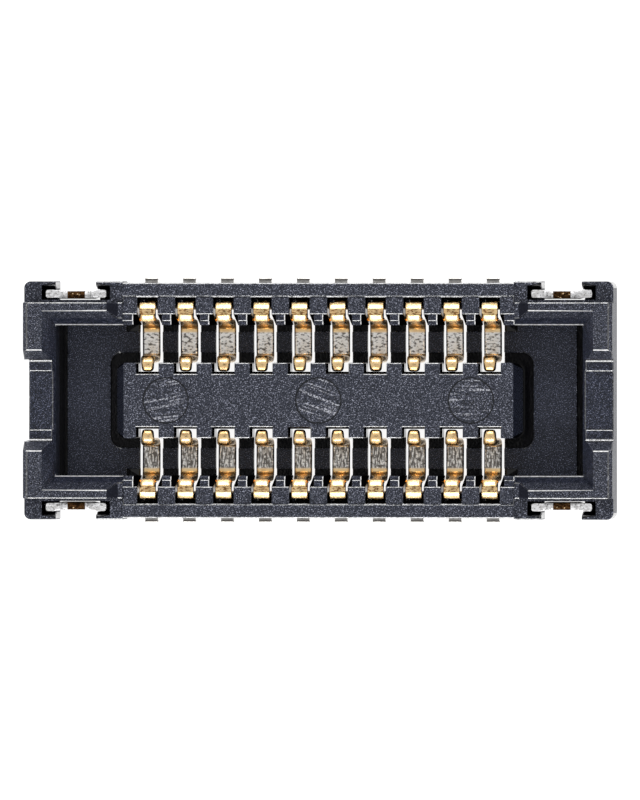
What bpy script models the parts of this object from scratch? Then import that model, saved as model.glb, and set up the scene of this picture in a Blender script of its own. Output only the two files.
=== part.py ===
"""Fine-pitch board-to-board receptacle that joins a flexible circuit to a board.

The part is one moulded housing, two rows of stamped and formed contacts, and
four fitting nails that hold its corners down. It lies on its solder side with
the mating side up: X runs along the rows, Y across them, Z up. Sizes are in
millimetres and are turned into metres when a mesh is made.
"""

import math

import bmesh
import bpy
from mathutils import Matrix, Vector

MM = 0.001
OVERCUT = 0.200

# Contact rows
PITCH = 0.400
CONTACTS_PER_ROW = 10
ROW_MARGIN = 0.260

# Heights above the board
BODY_HEIGHT = 0.770
RAIL_HEIGHT = 0.620
POST_HEIGHT = 0.580
FLOOR_HEIGHT = 0.100
GROOVE_HEIGHT = 0.040

# Widths across the rows, from the middle outwards
ISLAND_HALF_WIDTH = 0.396
MOAT_WIDTH = 0.104
STRIP_WIDTH = 0.223
GROOVE_WIDTH = 0.067
RIB_DEPTH = 0.113
RAIL_WIDTH = 0.331
RAIL_INSET = 0.016

# Small steps of the rails and ribs
RAIL_STEP_HEIGHT = 0.022
RAIL_STEP_MARGIN = 0.012
RIB_DROP = 0.011
RIB_STEP_WIDTH = 0.0715
RIB_STEP_HEIGHT = 0.022

# Centre island
ISLAND_END_SLANT = 0.085
ISLAND_SLANT_DROP = 0.230
ISLAND_END_MARGIN = -0.010
ISLAND_CORNER = 0.090
ISLAND_TOP_CORNER = 0.020
MOAT_END_WIDTH = 0.094
MOAT_CORNER = 0.118
PIN_MARK_RADIUS = 0.245
PIN_MARK_DEPTH = 0.006
PIN_MARK_SPACING = 1.605

# Ends of the housing, measured outwards from the end of the rails
RAMP_START = 0.050
RAMP_RUN = 0.106
END_POCKET_LENGTH = 0.713
END_LEAD_RUN = 0.127
END_LEAD_DROP = 0.270
END_GROOVE_WIDTH = 0.088
END_WALL = 0.200
SIDE_LEAD_BREAK = 0.072
SIDE_LEAD_RUN = 0.151
SIDE_LEAD_BREAK_DROP = 0.150
SIDE_LEAD_DROP = 0.270
END_TOP_BREAK = 0.040
END_TOP_BREAK_DROP = 0.024
CORNER_RADIUS = 0.070
CORNER_STEPS = 5

# Saddle in the top of each end wall
SADDLE_HALF_WIDTH = 0.422
SADDLE_RAMP = 0.105
SADDLE_HEIGHT = 0.570
SADDLE_STEP_HALF_WIDTH = 0.305
SADDLE_STEP = 0.022

# Recess and moulding gate in the left end face
END_RECESS = 0.050
GATE_HEIGHT = 0.300
GATE_WIDTH = 0.080
GATE_PROUD = 0.020

# Slots that the contacts sit in
SLOT_WIDTH = 0.214
SLOT_DEPTH = 0.178
SLOT_BLIND_DEPTH = 0.104
SLOT_FLOOR = 0.120
WINDOW_WIDTH = 0.236
NOTCH_DEPTH = 0.116
RIB_GAP = 0.302
RIB_GAP_DRAFT = 0.105

# Contacts, measured on the face of the strip that shows from above
STRIP_THICKNESS = 0.080
TAIL_WIDTH = 0.135
TAIL_OVERHANG = 0.066
ARCH_WIDTH = 0.170
SPRING_WIDTH = 0.186
HOOK_WIDTH = 0.150
TIP_WIDTH = 0.126
BARB_LENGTH = 0.090
LEG_SETBACK = 0.051
ARCH_HEIGHT = 0.605
ARCH_OUTER_RUN = 0.066
ARCH_TOP_RUN = 0.072
ARCH_INNER_RUN = 0.065
ARCH_FACET_DROP = 0.030
SPRING_LEAN = 0.054
SPRING_OUTER_HEIGHT = 0.115
SPRING_INNER_HEIGHT = 0.095
BEND_RADIUS = 0.045
HOOK_SETBACK = 0.068
HOOK_RADIUS = 0.100
HOOK_HEIGHT = 0.590
HOOK_TURN = 125.0
TIP_LENGTH = 0.010
FIT_CLEARANCE = 0.005
BEND_STEP = 22.5

# Fitting nails
NAIL_WIDTH = 0.634
NAIL_THICKNESS = 0.083
NAIL_HEIGHT = 0.565
NAIL_JOG = 0.012
NAIL_JOG_RUN = 0.045
NAIL_EAR = 0.150
NAIL_EAR_FOOT = 0.105
NAIL_DIP = 0.030
NAIL_CORNER = 0.022
NAIL_POCKET_END_GAP = 0.043
NAIL_POCKET_CLEARANCE = 0.010
NAIL_LEDGE = 0.100
JAW_LENGTH = 0.148
JAW_LEAD = 0.042
JAW_LEAD_DROP = 0.150
NAIL_FROM_END = 0.545
SHOULDER_WIDTH = 0.220

# Places along Y that several pieces share
MOAT_EDGE = ISLAND_HALF_WIDTH + MOAT_WIDTH
STRIP_EDGE = MOAT_EDGE + STRIP_WIDTH
WELL_WALL = STRIP_EDGE + GROOVE_WIDTH
RIB_BACK = WELL_WALL + RIB_DEPTH
RAIL_OUTER = RIB_BACK + RAIL_WIDTH
BODY_HALF_WIDTH = RAIL_OUTER + RAIL_INSET
SHOULDER_EDGE = BODY_HALF_WIDTH - SHOULDER_WIDTH
SLOT_END = RIB_BACK + SLOT_DEPTH
SLOT_STEP = SLOT_END - SLOT_BLIND_DEPTH
RAIL_STEP_EDGE = SLOT_END + RAIL_STEP_MARGIN
NOTCH_END = ISLAND_HALF_WIDTH - NOTCH_DEPTH

# Levels of the rails' inner steps and of the ribs
STEP_LEVEL = RAIL_HEIGHT - RAIL_STEP_HEIGHT
RIB_LEVEL = STEP_LEVEL - RIB_DROP
LIP_LEVEL = RIB_LEVEL - RIB_STEP_HEIGHT

# Places along X that several pieces share
ROW_HALF_LENGTH = (CONTACTS_PER_ROW - 1) * PITCH / 2
RAIL_HALF_LENGTH = ROW_HALF_LENGTH + ROW_MARGIN
RAMP_FOOT = RAIL_HALF_LENGTH + RAMP_START
RAMP_TOP = RAMP_FOOT + RAMP_RUN
POCKET_WALL = RAIL_HALF_LENGTH + END_POCKET_LENGTH
POCKET_MOUTH = POCKET_WALL + END_LEAD_RUN
BODY_HALF_LENGTH = POCKET_MOUTH + END_WALL
ISLAND_TOP_HALF_LENGTH = RAIL_HALF_LENGTH + ISLAND_END_MARGIN
ISLAND_HALF_LENGTH = ISLAND_TOP_HALF_LENGTH + ISLAND_END_SLANT
MOAT_HALF_LENGTH = ISLAND_HALF_LENGTH + MOAT_END_WIDTH
NAIL_CENTRE = BODY_HALF_LENGTH - NAIL_FROM_END

# Places across the nail pockets, from the outer ear face inwards
NAIL_OUTER_FACE = BODY_HALF_WIDTH - 2 * JAW_LEAD - FIT_CLEARANCE
NAIL_POCKET_OUTER = NAIL_OUTER_FACE + FIT_CLEARANCE
NAIL_POCKET_INNER = NAIL_OUTER_FACE - NAIL_THICKNESS - NAIL_JOG - NAIL_POCKET_CLEARANCE

ROW_POSITIONS = [index * PITCH - ROW_HALF_LENGTH for index in range(CONTACTS_PER_ROW)]
BOTH_SIDES = (1, -1)
CORNERS = [(along, across) for across in BOTH_SIDES for along in (-1, 1)]


def clear_scene():
    """Remove every object, so that the file can be run again."""
    for item in list(bpy.data.objects):
        bpy.data.objects.remove(item, do_unlink=True)


def make_material(name, colour, roughness, metallic):
    """Return a Principled BSDF material of one colour."""
    material = bpy.data.materials.new(name)
    material.use_nodes = True
    shader = material.node_tree.nodes["Principled BSDF"]
    shader.inputs["Base Color"].default_value = (*colour, 1.0)
    shader.inputs["Roughness"].default_value = roughness
    shader.inputs["Metallic"].default_value = metallic
    return material


def finish_mesh(bm, name):
    """Turn a shape drawn in millimetres into a mesh in metres."""
    bmesh.ops.recalc_face_normals(bm, faces=bm.faces)
    bmesh.ops.scale(bm, vec=(MM, MM, MM), verts=bm.verts)
    mesh = bpy.data.meshes.new(name)
    bm.to_mesh(mesh)
    bm.free()
    return mesh


def add_object(name, mesh, parent=None):
    """Link a new object that shows a mesh."""
    item = bpy.data.objects.new(name, mesh)
    bpy.context.scene.collection.objects.link(item)
    item.parent = parent
    return item


def add_cutter(name, bm, parent):
    """Link a shape that only serves the Boolean modifiers of the housing."""
    cutter = add_object(name, finish_mesh(bm, name), parent)
    cutter.hide_render = True
    cutter.display_type = "WIRE"
    return cutter


def add_boolean(item, cutter, operation):
    """Add an exact Boolean modifier to an object."""
    modifier = item.modifiers.new(cutter.name, "BOOLEAN")
    modifier.operation = operation
    modifier.object = cutter
    modifier.solver = "EXACT"


def loft_rings(bm, rings):
    """Join rings of equally many points into one closed body."""
    loops = [[bm.verts.new(point) for point in ring] for ring in rings]
    count = len(loops[0])
    for lower, upper in zip(loops, loops[1:]):
        for index in range(count):
            following = (index + 1) % count
            bm.faces.new((lower[index], lower[following], upper[following], upper[index]))
    bm.faces.new(list(reversed(loops[0])))
    bm.faces.new(loops[-1])


def add_prism(bm, outline, start, end, axis):
    """Extrude an outline along one axis; the outline holds the two other coordinates."""
    place = {
        "x": lambda first, second, along: (along, first, second),
        "y": lambda first, second, along: (first, along, second),
        "z": lambda first, second, along: (first, second, along),
    }[axis]
    rings = [[place(first, second, along) for first, second in outline] for along in (start, end)]
    loft_rings(bm, rings)


def add_box(bm, low, high):
    """Add a block between two opposite corners."""
    size = [high[axis] - low[axis] for axis in range(3)]
    centre = [(high[axis] + low[axis]) / 2 for axis in range(3)]
    matrix = Matrix.Translation(centre) @ Matrix.Diagonal((*size, 1.0))
    bmesh.ops.create_cube(bm, size=1.0, matrix=matrix)


def span(first, second):
    """Return two coordinates in rising order."""
    return min(first, second), max(first, second)


def rounded_rectangle(half_length, half_width, radius, steps):
    """Return the outline of a rectangle with round corners, anticlockwise."""
    points = []
    for quarter, (along, across) in enumerate(((1, 1), (-1, 1), (-1, -1), (1, -1))):
        centre_x = along * (half_length - radius)
        centre_y = across * (half_width - radius)
        for step in range(steps + 1):
            angle = math.radians(90 * (quarter + step / steps))
            points.append((centre_x + radius * math.cos(angle), centre_y + radius * math.sin(angle)))
    return points


def mirror_outline(half_outline):
    """Complete an outline that is drawn on its positive side only."""
    return half_outline + [(-first, second) for first, second in reversed(half_outline)]


def body_block():
    """Return the housing's outer block with its broken top edge."""
    foot = rounded_rectangle(BODY_HALF_LENGTH, BODY_HALF_WIDTH, CORNER_RADIUS, CORNER_STEPS)
    top = [(math.copysign(abs(x) - END_TOP_BREAK, x), y) for x, y in foot]
    levels = (
        (foot, 0.0),
        (foot, BODY_HEIGHT - END_TOP_BREAK_DROP),
        (top, BODY_HEIGHT),
    )
    bm = bmesh.new()
    loft_rings(bm, [[(x, y, height) for x, y in outline] for outline, height in levels])
    return bm


def valley_cutter():
    """Return the cut that drops the rails below the end walls, with a ramp at each end."""
    half = [
        (RAMP_FOOT, RAIL_HEIGHT),
        (RAMP_TOP, BODY_HEIGHT),
        (RAMP_TOP, BODY_HEIGHT + OVERCUT),
    ]
    reach = BODY_HALF_WIDTH + OVERCUT
    bm = bmesh.new()
    add_prism(bm, mirror_outline(half), -reach, reach, "y")
    return bm


def shoulder_cutter():
    """Return the cuts that drop the corner posts, which leave a guide wall beside each pocket."""
    bm = bmesh.new()
    for along, across in CORNERS:
        start, end = span(along * RAIL_HALF_LENGTH, along * (BODY_HALF_LENGTH + OVERCUT))
        near, far = span(across * SHOULDER_EDGE, across * (BODY_HALF_WIDTH + OVERCUT))
        add_box(bm, (start, near, POST_HEIGHT), (end, far, BODY_HEIGHT + OVERCUT))
    return bm


def rail_face_cutter():
    """Return the shallow cuts that set the rails' outer faces behind the corner posts."""
    bm = bmesh.new()
    for across in BOTH_SIDES:
        near, far = span(across * RAIL_OUTER, across * (BODY_HALF_WIDTH + OVERCUT))
        low = (-RAIL_HALF_LENGTH, near, -OVERCUT)
        high = (RAIL_HALF_LENGTH, far, BODY_HEIGHT + OVERCUT)
        add_box(bm, low, high)
    return bm


def well_cutter():
    """Return the long channel between the rails, with its steps, floor strips and grooves."""
    rib_step = RIB_BACK - RIB_STEP_WIDTH
    half = [
        (MOAT_EDGE, GROOVE_HEIGHT),
        (MOAT_EDGE, FLOOR_HEIGHT),
        (STRIP_EDGE, FLOOR_HEIGHT),
        (STRIP_EDGE, GROOVE_HEIGHT),
        (WELL_WALL, GROOVE_HEIGHT),
        (WELL_WALL, LIP_LEVEL),
        (rib_step, LIP_LEVEL),
        (rib_step, RIB_LEVEL),
        (RIB_BACK, RIB_LEVEL),
        (RIB_BACK, STEP_LEVEL),
        (RAIL_STEP_EDGE, STEP_LEVEL),
        (RAIL_STEP_EDGE, RAIL_HEIGHT),
        (RAIL_STEP_EDGE, BODY_HEIGHT + OVERCUT),
    ]
    bm = bmesh.new()
    add_prism(bm, mirror_outline(half), -RAIL_HALF_LENGTH, RAIL_HALF_LENGTH, "x")
    return bm


def end_pocket_section():
    """Return the pockets' section across the rows: straight walls below a lead-in."""
    half = [
        (WELL_WALL, FLOOR_HEIGHT),
        (WELL_WALL, BODY_HEIGHT - SIDE_LEAD_DROP),
        (WELL_WALL + SIDE_LEAD_BREAK, BODY_HEIGHT - SIDE_LEAD_BREAK_DROP),
        (WELL_WALL + SIDE_LEAD_RUN, BODY_HEIGHT),
        (WELL_WALL + SIDE_LEAD_RUN, BODY_HEIGHT + OVERCUT),
    ]
    reach = BODY_HALF_LENGTH + OVERCUT
    bm = bmesh.new()
    add_prism(bm, mirror_outline(half), -reach, reach, "x")
    return bm


def end_pocket_profile():
    """Return both pockets' profiles along the rows: a long lead-in at each end wall."""
    outline = [
        (RAIL_HALF_LENGTH, 0.0),
        (POCKET_WALL, 0.0),
        (POCKET_WALL, BODY_HEIGHT - END_LEAD_DROP),
        (POCKET_MOUTH, BODY_HEIGHT),
        (POCKET_MOUTH, BODY_HEIGHT + 2 * OVERCUT),
        (RAIL_HALF_LENGTH, BODY_HEIGHT + 2 * OVERCUT),
    ]
    reach = BODY_HALF_WIDTH + OVERCUT
    bm = bmesh.new()
    for along in BOTH_SIDES:
        add_prism(bm, [(along * x, z) for x, z in outline], -reach, reach, "y")
    return bm


def floor_groove_cutter():
    """Return the groove at each end wall's foot and the moat round the island."""
    bm = bmesh.new()
    for along in BOTH_SIDES:
        start, end = span(along * (POCKET_WALL - END_GROOVE_WIDTH), along * POCKET_WALL)
        add_box(bm, (start, -WELL_WALL, GROOVE_HEIGHT), (end, WELL_WALL, BODY_HEIGHT - END_LEAD_DROP))
    moat = rounded_rectangle(MOAT_HALF_LENGTH, MOAT_EDGE, MOAT_CORNER, 6)
    add_prism(bm, moat, GROOVE_HEIGHT, BODY_HEIGHT, "z")
    return bm


def island_solid():
    """Return the centre island with slanted ends."""
    foot = rounded_rectangle(ISLAND_HALF_LENGTH, ISLAND_HALF_WIDTH, ISLAND_CORNER, CORNER_STEPS)
    top = rounded_rectangle(ISLAND_TOP_HALF_LENGTH, ISLAND_HALF_WIDTH, ISLAND_TOP_CORNER, CORNER_STEPS)
    levels = (
        (foot, GROOVE_HEIGHT / 2),
        (foot, RAIL_HEIGHT - ISLAND_SLANT_DROP),
        (top, RAIL_HEIGHT),
    )
    bm = bmesh.new()
    loft_rings(bm, [[(x, y, height) for x, y in outline] for outline, height in levels])
    return bm


def saddle_cutter():
    """Return the dip in the top of both end walls, with its ramps and shallow middle step."""
    half = [
        (SADDLE_STEP_HALF_WIDTH, SADDLE_HEIGHT - SADDLE_STEP),
        (SADDLE_STEP_HALF_WIDTH, SADDLE_HEIGHT),
        (SADDLE_HALF_WIDTH, SADDLE_HEIGHT),
        (SADDLE_HALF_WIDTH + SADDLE_RAMP, BODY_HEIGHT),
        (SADDLE_HALF_WIDTH + SADDLE_RAMP, BODY_HEIGHT + OVERCUT),
    ]
    bm = bmesh.new()
    for along in BOTH_SIDES:
        inside = POCKET_WALL - END_GROOVE_WIDTH
        start, end = span(along * inside, along * (BODY_HALF_LENGTH + OVERCUT))
        add_prism(bm, mirror_outline(half), start, end, "x")
    return bm


def end_recess_cutter():
    """Return the shallow recess in the left end face, round the moulding gate's stub."""
    face = -BODY_HALF_LENGTH
    half = [
        (face - OVERCUT, SADDLE_HALF_WIDTH),
        (face + END_RECESS, SADDLE_HALF_WIDTH),
        (face + END_RECESS, GATE_WIDTH / 2),
        (face + END_RECESS - GATE_PROUD, GATE_WIDTH / 4),
    ]
    outline = half + [(x, -y) for x, y in reversed(half)]
    bm = bmesh.new()
    add_prism(bm, outline, -OVERCUT, BODY_HEIGHT + OVERCUT, "z")
    return bm


def gate_trim_cutter():
    """Return the cut that leaves the gate's stub only on the lower part of the end face."""
    face = -BODY_HALF_LENGTH
    low = (face - OVERCUT, -GATE_WIDTH, GATE_HEIGHT)
    high = (face + END_RECESS, GATE_WIDTH, BODY_HEIGHT + OVERCUT)
    bm = bmesh.new()
    add_box(bm, low, high)
    return bm


def contact_slot_cutter():
    """Return the slots in the rails, open below except for a blind step at the outer end."""
    outline = [
        (STRIP_EDGE, -OVERCUT),
        (SLOT_STEP, -OVERCUT),
        (SLOT_STEP, SLOT_FLOOR),
        (SLOT_END, SLOT_FLOOR),
        (SLOT_END, BODY_HEIGHT + OVERCUT),
        (STRIP_EDGE, BODY_HEIGHT + OVERCUT),
    ]
    bm = bmesh.new()
    for across in BOTH_SIDES:
        for x in ROW_POSITIONS:
            section = [(across * y, z) for y, z in outline]
            add_prism(bm, section, x - SLOT_WIDTH / 2, x + SLOT_WIDTH / 2, "x")
    return bm


def window_cutter():
    """Return the windows through the floor, which run on into notches in the island."""
    bm = bmesh.new()
    for across in BOTH_SIDES:
        near, far = span(across * NOTCH_END, across * WELL_WALL)
        for x in ROW_POSITIONS:
            low = (x - WINDOW_WIDTH / 2, near, -OVERCUT)
            high = (x + WINDOW_WIDTH / 2, far, BODY_HEIGHT + OVERCUT)
            add_box(bm, low, high)
    return bm


def rib_gap_cutter():
    """Return the pockets that leave a narrow rib between two contacts."""
    outline = [
        (STRIP_EDGE, GROOVE_HEIGHT),
        (RIB_BACK - RIB_GAP_DRAFT, GROOVE_HEIGHT),
        (RIB_BACK, RIB_LEVEL),
        (RIB_BACK, BODY_HEIGHT + OVERCUT),
        (STRIP_EDGE, BODY_HEIGHT + OVERCUT),
    ]
    bm = bmesh.new()
    for across in BOTH_SIDES:
        for x in ROW_POSITIONS:
            section = [(across * y, z) for y, z in outline]
            add_prism(bm, section, x - RIB_GAP / 2, x + RIB_GAP / 2, "x")
    return bm


def tail_notch_cutter():
    """Return the notches under the rails that the solder tails leave through."""
    half_width = TAIL_WIDTH / 2 + 2 * FIT_CLEARANCE
    inner = SLOT_STEP - STRIP_THICKNESS
    leg = SLOT_END - LEG_SETBACK + FIT_CLEARANCE
    roof = STRIP_THICKNESS + FIT_CLEARANCE
    outline = [
        (inner, -OVERCUT),
        (BODY_HALF_WIDTH + OVERCUT, -OVERCUT),
        (BODY_HALF_WIDTH + OVERCUT, roof),
        (leg + BEND_RADIUS, roof),
        (leg, roof + BEND_RADIUS),
        (leg, SLOT_FLOOR + STRIP_THICKNESS / 2),
        (inner, SLOT_FLOOR + STRIP_THICKNESS / 2),
    ]
    bm = bmesh.new()
    for across in BOTH_SIDES:
        for x in ROW_POSITIONS:
            add_prism(bm, [(across * y, z) for y, z in outline], x - half_width, x + half_width, "x")
    return bm


def nail_pocket_cutter():
    """Return the pockets behind the jaws, each with a lead-in along the jaws' inner edge."""
    half = NAIL_WIDTH / 2 + NAIL_POCKET_END_GAP
    outline = [
        (NAIL_POCKET_INNER, NAIL_LEDGE),
        (NAIL_POCKET_OUTER, NAIL_LEDGE),
        (NAIL_POCKET_OUTER, POST_HEIGHT - JAW_LEAD_DROP),
        (NAIL_POCKET_OUTER + JAW_LEAD, POST_HEIGHT),
        (NAIL_POCKET_OUTER + JAW_LEAD, BODY_HEIGHT + OVERCUT),
        (NAIL_POCKET_INNER, BODY_HEIGHT + OVERCUT),
    ]
    bm = bmesh.new()
    for along, across in CORNERS:
        centre = along * NAIL_CENTRE
        add_prism(bm, [(across * y, z) for y, z in outline], centre - half, centre + half, "x")
    return bm


def nail_mouth_cutter():
    """Return the openings between the jaws, from top to bottom of the housing's side."""
    half = NAIL_WIDTH / 2 + NAIL_POCKET_END_GAP - JAW_LENGTH
    bm = bmesh.new()
    for along, across in CORNERS:
        centre = along * NAIL_CENTRE
        near, far = span(across * NAIL_POCKET_INNER, across * (BODY_HALF_WIDTH + OVERCUT))
        low = (centre - half, near, -OVERCUT)
        high = (centre + half, far, BODY_HEIGHT + OVERCUT)
        add_box(bm, low, high)
    return bm


def pin_mark_cutter():
    """Return the three shallow round marks that the mould's ejector pins leave on the island."""
    bm = bmesh.new()
    for index in (-1, 0, 1):
        centre = Vector((index * PIN_MARK_SPACING, 0.0, RAIL_HEIGHT + OVERCUT / 2 - PIN_MARK_DEPTH))
        bmesh.ops.create_cone(
            bm,
            cap_ends=True,
            segments=36,
            radius1=PIN_MARK_RADIUS,
            radius2=PIN_MARK_RADIUS,
            depth=OVERCUT,
            matrix=Matrix.Translation(centre),
        )
    return bm


def build_housing(parent, material):
    """Build the moulded housing as a block, cut and joined in the order that the mould reads."""
    housing = add_object("housing", finish_mesh(body_block(), "housing"), parent)
    housing.data.materials.append(material)
    pocket = add_cutter("end_pockets", end_pocket_section(), parent)
    add_boolean(pocket, add_cutter("end_pocket_ends", end_pocket_profile(), parent), "INTERSECT")
    cuts = (
        ("valley", valley_cutter),
        ("shoulders", shoulder_cutter),
        ("rail_faces", rail_face_cutter),
        ("well", well_cutter),
    )
    for name, shape in cuts:
        add_boolean(housing, add_cutter(name, shape(), parent), "DIFFERENCE")
    add_boolean(housing, pocket, "DIFFERENCE")
    add_boolean(housing, add_cutter("floor_grooves", floor_groove_cutter(), parent), "DIFFERENCE")
    add_boolean(housing, add_cutter("island", island_solid(), parent), "UNION")
    later_cuts = (
        ("saddles", saddle_cutter),
        ("end_recess", end_recess_cutter),
        ("gate_trim", gate_trim_cutter),
        ("nail_pockets", nail_pocket_cutter),
        ("nail_mouths", nail_mouth_cutter),
        ("contact_slots", contact_slot_cutter),
        ("windows", window_cutter),
        ("rib_gaps", rib_gap_cutter),
        ("tail_notches", tail_notch_cutter),
        ("pin_marks", pin_mark_cutter),
    )
    for name, shape in later_cuts:
        add_boolean(housing, add_cutter(name, shape(), parent), "DIFFERENCE")
    return housing


class FaceLine:
    """Follows one face of a bent strip in the Y-Z plane and notes the strip's width on the way."""

    def __init__(self, y, z, width):
        self.points = [(y, z, width)]

    def go_to(self, y, z, width):
        """Go straight on to a point, which is a sharp corner if the way turns there."""
        self.points.append((y, z, width))

    def bend(self, corner, target, radius, width):
        """Round a corner on the way to a target."""
        last = self.points[-1]
        arrive = math.atan2(corner[1] - last[1], corner[0] - last[0])
        leave = math.atan2(target[1] - corner[1], target[0] - corner[0])
        turn = (leave - arrive + math.pi) % (2 * math.pi) - math.pi
        reach = radius * math.tan(abs(turn) / 2)
        start = (corner[0] - reach * math.cos(arrive), corner[1] - reach * math.sin(arrive))
        self.go_to(*start, width)
        self.sweep(arrive, turn, radius, width)

    def sweep(self, heading, turn, radius, width):
        """Turn on a radius, in steps; a positive turn goes left."""
        start_y, start_z, start_width = self.points[-1]
        side = heading + math.copysign(math.pi / 2, turn)
        centre_y = start_y + radius * math.cos(side)
        centre_z = start_z + radius * math.sin(side)
        steps = max(2, math.ceil(abs(math.degrees(turn)) / BEND_STEP))
        for step in range(1, steps + 1):
            share = step / steps
            angle = side + turn * share
            y = centre_y - radius * math.cos(angle)
            z = centre_z - radius * math.sin(angle)
            self.go_to(y, z, start_width + (width - start_width) * share)


def contact_face():
    """Return the upper face line of one contact: tail, barbed leg, arch, spring and hook."""
    leg = SLOT_END - LEG_SETBACK
    barb_width = SLOT_WIDTH - 2 * FIT_CLEARANCE
    barb_low = SLOT_FLOOR + STRIP_THICKNESS
    facet_foot = ARCH_HEIGHT - ARCH_FACET_DROP
    arch_top = leg - ARCH_OUTER_RUN
    arch_inner = arch_top - ARCH_TOP_RUN
    spring_top = arch_inner - ARCH_INNER_RUN
    spring_foot = (spring_top - SPRING_LEAN, SPRING_OUTER_HEIGHT)
    hook_face = ISLAND_HALF_WIDTH + HOOK_SETBACK
    hook_foot = (hook_face, SPRING_INNER_HEIGHT)
    hook_start = (hook_face, HOOK_HEIGHT - HOOK_RADIUS)
    line = FaceLine(RAIL_OUTER + TAIL_OVERHANG, STRIP_THICKNESS, TAIL_WIDTH)
    line.bend((leg, STRIP_THICKNESS), (leg, barb_low), BEND_RADIUS, TAIL_WIDTH)
    line.go_to(leg, barb_low, TAIL_WIDTH)
    line.go_to(leg, barb_low + BARB_LENGTH / 3, barb_width)
    line.go_to(leg, barb_low + BARB_LENGTH, barb_width)
    line.go_to(leg, barb_low + BARB_LENGTH + FIT_CLEARANCE, ARCH_WIDTH)
    line.go_to(leg, facet_foot, ARCH_WIDTH)
    line.go_to(arch_top, ARCH_HEIGHT, ARCH_WIDTH)
    line.go_to(arch_inner, ARCH_HEIGHT, ARCH_WIDTH)
    line.go_to(spring_top, facet_foot, ARCH_WIDTH)
    line.bend(spring_foot, hook_foot, BEND_RADIUS, SPRING_WIDTH)
    line.bend(hook_foot, hook_start, BEND_RADIUS, SPRING_WIDTH)
    line.go_to(*hook_start, HOOK_WIDTH)
    turn = math.radians(HOOK_TURN)
    line.sweep(math.pi / 2, turn, HOOK_RADIUS, TIP_WIDTH)
    y, z, width = line.points[-1]
    heading = math.pi / 2 + turn
    line.go_to(y + TIP_LENGTH * math.cos(heading), z + TIP_LENGTH * math.sin(heading), width)
    return line.points


def back_face(points):
    """Return the strip's other face line, one thickness to the left of the given one."""
    directions = []
    for (y, z, _), (next_y, next_z, _) in zip(points, points[1:]):
        directions.append(Vector((next_y - y, next_z - z)).normalized())
    back = []
    for index, (y, z, _) in enumerate(points):
        before = directions[max(index - 1, 0)]
        after = directions[min(index, len(directions) - 1)]
        both = before + after
        shift = STRIP_THICKNESS / (1 + before.dot(after))
        back.append((y - both.y * shift, z + both.x * shift))
    return back


def contact_mesh():
    """Return the mesh of one contact, drawn for the row on the positive Y side."""
    face = contact_face()
    rings = []
    for (y, z, width), (back_y, back_z) in zip(face, back_face(face)):
        rings.append([
            (-width / 2, y, z),
            (width / 2, y, z),
            (width / 2, back_y, back_z),
            (-width / 2, back_y, back_z),
        ])
    bm = bmesh.new()
    loft_rings(bm, rings)
    return finish_mesh(bm, "contact")


def build_contacts(parent, material):
    """Place the contacts of both rows; row b is row a turned round the middle."""
    mesh = contact_mesh()
    mesh.materials.append(material)
    for index, x in enumerate(ROW_POSITIONS, start=1):
        contact_a = add_object(f"contact_a{index:02d}", mesh, parent)
        contact_a.location = (x * MM, 0.0, 0.0)
        contact_b = add_object(f"contact_b{index:02d}", mesh, parent)
        contact_b.location = (x * MM, 0.0, 0.0)
        contact_b.rotation_euler = (0.0, 0.0, math.pi)


def nail_outline():
    """Return the nail's plan outline: two ears with round ends and a middle set inwards."""
    half = NAIL_WIDTH / 2
    middle = half - NAIL_EAR
    faces = []
    for offset, order in ((0.0, 1), (-NAIL_THICKNESS, -1)):
        end = half - NAIL_CORNER
        edge = [
            (-end, offset),
            (-middle - NAIL_JOG_RUN, offset),
            (-middle, offset - NAIL_JOG),
            (middle, offset - NAIL_JOG),
            (middle + NAIL_JOG_RUN, offset),
            (end, offset),
        ]
        faces.append(edge[::order])
    outer, inner = faces
    right_end = nail_round_end(1)
    left_end = nail_round_end(-1)
    return outer + right_end + inner + left_end


def nail_round_end(side):
    """Return the points between the faces at one end of the nail, with both corners round."""
    half = NAIL_WIDTH / 2
    centre_x = side * (half - NAIL_CORNER)
    points = []
    for centre_y, start in ((-NAIL_CORNER, 90.0), (NAIL_CORNER - NAIL_THICKNESS, 0.0)):
        for share in (1 / 3, 2 / 3, 1.0) if start else (0.0, 1 / 3, 2 / 3):
            angle = math.radians(start - 90.0 * share)
            x = centre_x + side * NAIL_CORNER * math.cos(angle)
            points.append((x, centre_y + NAIL_CORNER * math.sin(angle)))
    return points if side > 0 else points[::-1]


def nail_trim_cutter():
    """Return the cuts below both ears and in the sheared middle of the nail's top."""
    half = NAIL_WIDTH / 2
    middle = half - NAIL_EAR
    depth = NAIL_THICKNESS + NAIL_JOG
    bm = bmesh.new()
    for side in BOTH_SIDES:
        near, far = span(side * middle, side * (half + OVERCUT))
        add_box(bm, (near, -depth - OVERCUT, -OVERCUT), (far, OVERCUT, NAIL_EAR_FOOT))
    top = [
        (middle - NAIL_DIP, NAIL_HEIGHT - NAIL_DIP),
        (middle, NAIL_HEIGHT),
        (middle, NAIL_HEIGHT + OVERCUT),
    ]
    add_prism(bm, mirror_outline(top), -depth - OVERCUT, OVERCUT, "y")
    return bm


def build_nails(parent, material):
    """Build a fitting nail in each of the four corner pockets."""
    for along, across in CORNERS:
        bm = bmesh.new()
        add_prism(bm, nail_outline(), 0.0, NAIL_HEIGHT, "z")
        row = "a" if across > 0 else "b"
        side = "left" if along < 0 else "right"
        name = f"nail_{row}_{side}"
        nail = add_object(name, finish_mesh(bm, name), parent)
        nail.data.materials.append(material)
        trim = add_cutter(f"trim_{name}", nail_trim_cutter(), nail)
        add_boolean(nail, trim, "DIFFERENCE")
        nail.location = (along * NAIL_CENTRE * MM, across * NAIL_OUTER_FACE * MM, 0.0)
        nail.rotation_euler = (0.0, 0.0, 0.0 if across > 0 else math.pi)


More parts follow.
